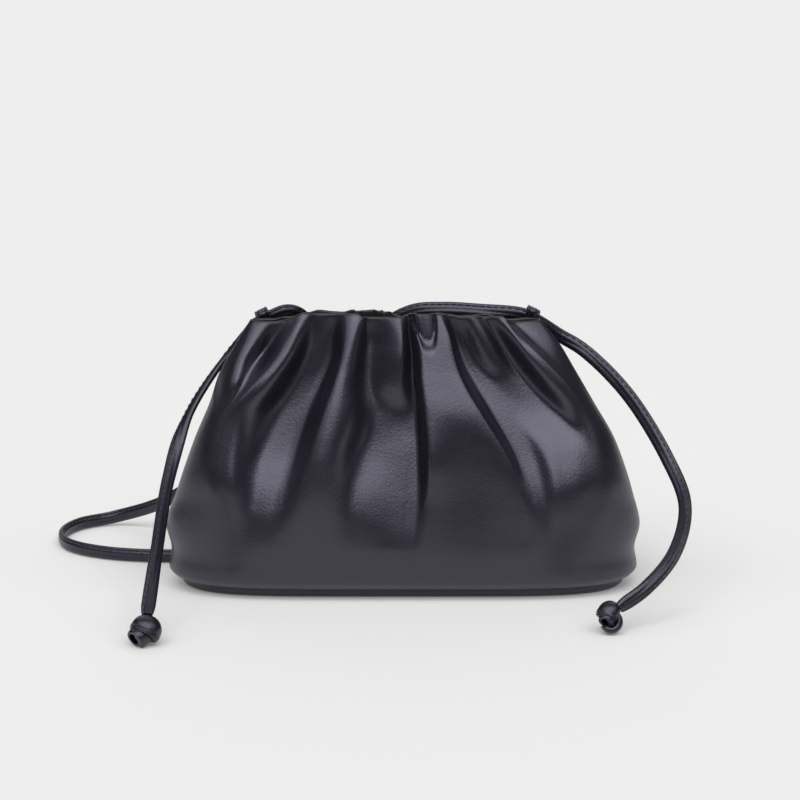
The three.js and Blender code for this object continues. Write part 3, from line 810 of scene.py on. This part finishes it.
def curveThrough(places, values, at):
    places, values = np.asarray(places, dtype=float), np.asarray(values, dtype=float)
    if places[0] > places[-1]:
        places, values = places[::-1], values[::-1]
    slope = np.empty(len(places))
    slope[1:-1] = (values[2:] - values[:-2]) / (places[2:] - places[:-2])
    slope[0] = (values[1] - values[0]) / (places[1] - places[0])
    slope[-1] = (values[-1] - values[-2]) / (places[-1] - places[-2])
    i = np.clip(np.searchsorted(places, at, side="right") - 1, 0, len(places) - 2)
    span = places[i + 1] - places[i]
    t = np.clip((at - places[i]) / span, 0, 1)
    return (
        values[i] * (2 * t ** 3 - 3 * t ** 2 + 1)
        + slope[i] * span * (t ** 3 - 2 * t ** 2 + t)
        + values[i + 1] * (3 * t ** 2 - 2 * t ** 3)
        + slope[i + 1] * span * (t ** 3 - t ** 2)
    )


def smoothStep(value, low, high):
    t = np.clip((value - low) / (high - low), 0, 1)
    return t * t * (3 - 2 * t)


def smoothMin(a, b, blend):
    near = np.maximum(blend - np.abs(a - b), 0) / np.maximum(blend, 1e-6)
    return np.minimum(a, b) - near * near * blend / 4


# Columns run down along the fold lines. Each one knows its span between two lines and its share of it.
def panelColumns():
    spans, shares = [], []
    spanCount = len(folds) + 1
    for i in range(spanCount):
        atSeam = i in (0, spanCount - 1)
        t = np.arange(pouch["stepsAtSeam"] if atSeam else pouch["stepsPerFold"])
        t = t / len(t)
        if i == 0:
            t = t ** 2
        if i == spanCount - 1:
            t = 1 - (1 - t) ** 2
        spans += [i] * len(t)
        shares += list(t)
    return np.array(spans + [spanCount - 1]), np.array(shares + [1.0])


def panelGrid(height, span, share, mirror):
    lines = folds if mirror > 0 else folds[::-1]
    zero = np.zeros(len(height))
    linePlaces = [mirror * curveThrough(foldLevels, places, height) for places, _, _ in lines]
    lineDepths = [curveThrough(foldLevels, depths, height) for _, depths, _ in lines]
    places = np.stack([zero - 1, *linePlaces, zero + 1], axis=1)
    depths = np.stack([zero, *lineDepths, zero], axis=1)
    sharp = np.array([0, *(sharpness for _, _, sharpness in lines), 0])
    place = places[:, span] * (1 - share) + places[:, span + 1] * share
    crease, flat = np.maximum(sharp, 0), np.maximum(-sharp, 0)
    t = 1 - (1 - share ** (1 + flat[span])) ** (1 + flat[span + 1])
    eased = (
        smoothStep(t, 0, 1)
        + pouch["creaseSlope"] * crease[span] * t * (1 - t) ** 2
        - pouch["creaseSlope"] * crease[span + 1] * t ** 2 * (1 - t)
    )
    depth = depths[:, span] + (depths[:, span + 1] - depths[:, span]) * eased
    for _ in range(pouch["creaseRounding"]):
        depth[:, 1:-1] = depth[:, :-2] / 4 + depth[:, 1:-1] / 2 + depth[:, 2:] / 4
    return place, depth


def panelHeights():
    turn = np.linspace(0, math.pi / 2, pouch["footSteps"])
    lower = pouch["footHeight"] * (1 - np.cos(turn))
    wall = np.linspace(pouch["footHeight"], pouch["rimHeight"], pouch["wallSteps"])[1:]
    return np.concatenate([lower, wall])


def panelSurface(side, rise):
    mirror = -side
    span, share = panelColumns()
    wallHeights = panelHeights()
    baseShares = np.linspace(0, 1, pouch["baseSteps"])[:-1]
    height = np.concatenate([np.zeros(len(baseShares)), wallHeights])
    place, depth = panelGrid(height, span, share, mirror)
    column = {name: curveThrough(pouchSections[:, 0], pouchSections[:, k], height)[:, None]
              for k, name in enumerate(sectionColumns, 1)}
    base = len(baseShares)
    column["belly"][:base, 0] *= baseShares
    seam = pouch["baseSeam"]
    column["halfWidth"][:base, 0] = seam + (pouchSections[0, 1] - seam) * baseShares
    across = np.sqrt(np.maximum(0, 1 - np.abs(place) ** column["fullness"]))
    pressed = 0
    for pocketPlace, lip, halfWide, reach, pocketDepth in pockets:
        aside = (place - mirror * pocketPlace) * column["halfWidth"]
        up = height[:, None] - lip - halfWide * np.abs(aside / halfWide) ** 3
        lipEdge = smoothStep(up, -pouch["lipBlend"], pouch["lipBlend"])
        pressed = pressed + pocketDepth * lipEdge * np.clip(1 - up / reach, 0, 1)
    gathered = column["gathered"] * across + depth - pressed
    out = smoothMin(gathered, column["belly"] * across, pouch["bellyBlend"] * across)
    seamDip = pouch["seamDip"] * np.exp(-(out / pouch["seamDipWidth"]) ** 2)
    x = column["lean"] + column["halfWidth"] * place - np.sign(place) * seamDip
    raised = sum(high * smoothStep(place, riseFrom, riseTo) * (1 - smoothStep(place, fallFrom, fallTo))
                 for riseFrom, riseTo, fallFrom, fallTo, high in rise)
    nearRim = smoothStep(height, pouch["rimRiseStart"], pouch["rimHeight"])[:, None]
    lift = (raised + pouch["rimDip"] * depth) * nearRim
    y = side * (pouch["seamGap"] / 2 / mm + out)
    z = np.broadcast_to(height[:, None], y.shape) + lift
    return np.stack([x, y, z], axis=-1) * mm, base


def panelNormals(points, side):
    acrossWay = np.gradient(points, axis=1)
    upWay = np.gradient(points, axis=0)
    return unit(np.cross(acrossWay, upWay) * -side)


def addPanel(name, node, side, rise):
    outer, base = panelSurface(side, rise)
    inward = panelNormals(outer, side)
    inward[:, 0, 1] = 0
    inward[:, -1, 1] = 0
    inward[-1, :, 2] = 0
    inward[:base] = (0, 0, -1)
    inner = outer - unit(inward) * pouch["wall"]
    middle = (outer[-1] + inner[-1]) / 2
    rounds = []
    for k in range(1, pouch["rimSteps"]):
        turn = math.pi * k / pouch["rimSteps"]
        bead = middle + (outer[-1] - middle) * math.cos(turn)
        bead[:, 2] += pouch["wall"] / 2 * math.sin(turn)
        rounds.append(bead)
    rows = np.concatenate([outer, np.array(rounds), inner[::-1]])
    count, columns = rows.shape[:2]
    points = rows.reshape(-1, 3)
    faces, faceMaterial = [], []
    grainSide, fleshAt, paintAt = range(3)  # order of the panel's materials
    insideFrom = len(outer) + len(rounds)
    top = len(outer) - 1
    for j in range(count):
        up = (j + 1) % count
        for i in range(columns - 1):
            quad = (j * columns + i, j * columns + i + 1, up * columns + i + 1, up * columns + i)
            faces.append(quad if side < 0 else quad[::-1])
            faceMaterial.append(fleshAt if j >= insideFrom else paintAt if j >= top else grainSide)
    for edge in (0, columns - 1):
        facesOut = (edge == 0) == (side < 0)
        for j in range(top):
            back = count - 1 - j
            quad = tuple(row * columns + edge for row in (j, j + 1, back - 1, back))
            faces.append(quad if facesOut else quad[::-1])
            faceMaterial.append(grainSide)
        cap = tuple((top + k) * columns + edge for k in range(len(rounds) + 2))
        faces.append(cap if facesOut else cap[::-1])
        faceMaterial.append(grainSide)
    materials = [pouchLeather, fleshSide, paintedEdge]
    piece = addMesh(name, points, faces, materials, faceMaterial, pouch["sharpAngle"])
    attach(piece, "root")
    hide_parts(node)
    return piece


addPanel("pouch_front", "front_panel", -1, rimRise["front"])
addPanel("pouch_back", "back_panel", 1, rimRise["back"])
print("pouch gathered")

# Pale floor and four soft lamps: a strong one from the front, a weak one at each side and one from above
studio = {
    "floorSize": 14,
    "floorFront": 0.42,  # the table ends before the bag, so the leather mirrors the dark room beyond it
    "floorColour": (0.735, 0.74, 0.726),
    "floorRoughness": 0.9,
    "floorGloss": 0.1,
    "floorGlow": (0.125, 0.126, 0.123),
    "lamps": [  # degrees: spread, tilt towards the front, turn about the upright
        {"name": "front_light", "strength": 1.9, "spread": 56, "tilt": 38, "turn": 0},
        {"name": "left_light", "strength": 0.6, "spread": 44, "tilt": 42, "turn": -62},
        {"name": "right_light", "strength": 0.6, "spread": 44, "tilt": 42, "turn": 62},
        {"name": "top_light", "strength": 0.6, "spread": 70, "tilt": -48, "turn": 0},
    ],
    "horizon": (0.03, 0.03, 0.034),
    "horizonAt": 0.05,  # upward share of the direction
    "sky": (0.12, 0.12, 0.13),
    "skyAt": 0.6,
    "backdrop": (0.84, 0.845, 0.82),
}


def addFloor():
    half, front = studio["floorSize"] / 2, studio["floorFront"]
    material, _, _, shader = newFinish("studio_floor")
    shader.inputs["Base Color"].default_value = (*studio["floorColour"], 1)
    shader.inputs["Roughness"].default_value = studio["floorRoughness"]
    shader.inputs["Specular IOR Level"].default_value = studio["floorGloss"]
    shader.inputs["Emission Color"].default_value = (*studio["floorGlow"], 1)
    shader.inputs["Emission Strength"].default_value = 1
    corners = [(-half, -front, 0), (half, -front, 0), (half, half, 0), (-half, half, 0)]
    floor = addMesh("studio_floor", corners, [(0, 1, 2, 3)], [material])


def addLight(setup):
    data = bpy.data.lights.new(setup["name"], "SUN")
    data.energy = setup["strength"]
    data.angle = math.radians(setup["spread"])
    lamp = bpy.data.objects.new(setup["name"], data)
    lamp.rotation_euler = (math.radians(setup["tilt"]), 0, math.radians(setup["turn"]))
    scene.collection.objects.link(lamp)


# The sky is dark near the horizon, so that the sides of the folds stay dark, and pale behind the scene
def addSky():
    world = bpy.data.worlds.new("studio_sky")
    scene.world = world
    world.use_nodes = True
    nodes, links = world.node_tree.nodes, world.node_tree.links
    background = nodes["Background"]
    direction = nodes.new("ShaderNodeTexCoord").outputs["Generated"]
    split = nodes.new("ShaderNodeSeparateXYZ")
    links.new(direction, split.inputs["Vector"])
    height = addRange(nodes, links, split.outputs["Z"], 0, 1, studio["horizonAt"], studio["skyAt"])
    sky = addMix(nodes, links, height, studio["horizon"], studio["sky"])
    seen = nodes.new("ShaderNodeLightPath").outputs["Is Camera Ray"]
    pale = nodes.new("ShaderNodeMix")
    pale.data_type = "RGBA"
    pale.inputs["B"].default_value = (*studio["backdrop"], 1)
    links.new(seen, pale.inputs["Factor"])
    links.new(sky, pale.inputs["A"])
    links.new(pale.outputs["Result"], background.inputs["Color"])


addFloor()
for setup in studio["lamps"]:
    addLight(setup)
addSky()
scene.view_settings.view_transform = "Standard"
print("studio lit")
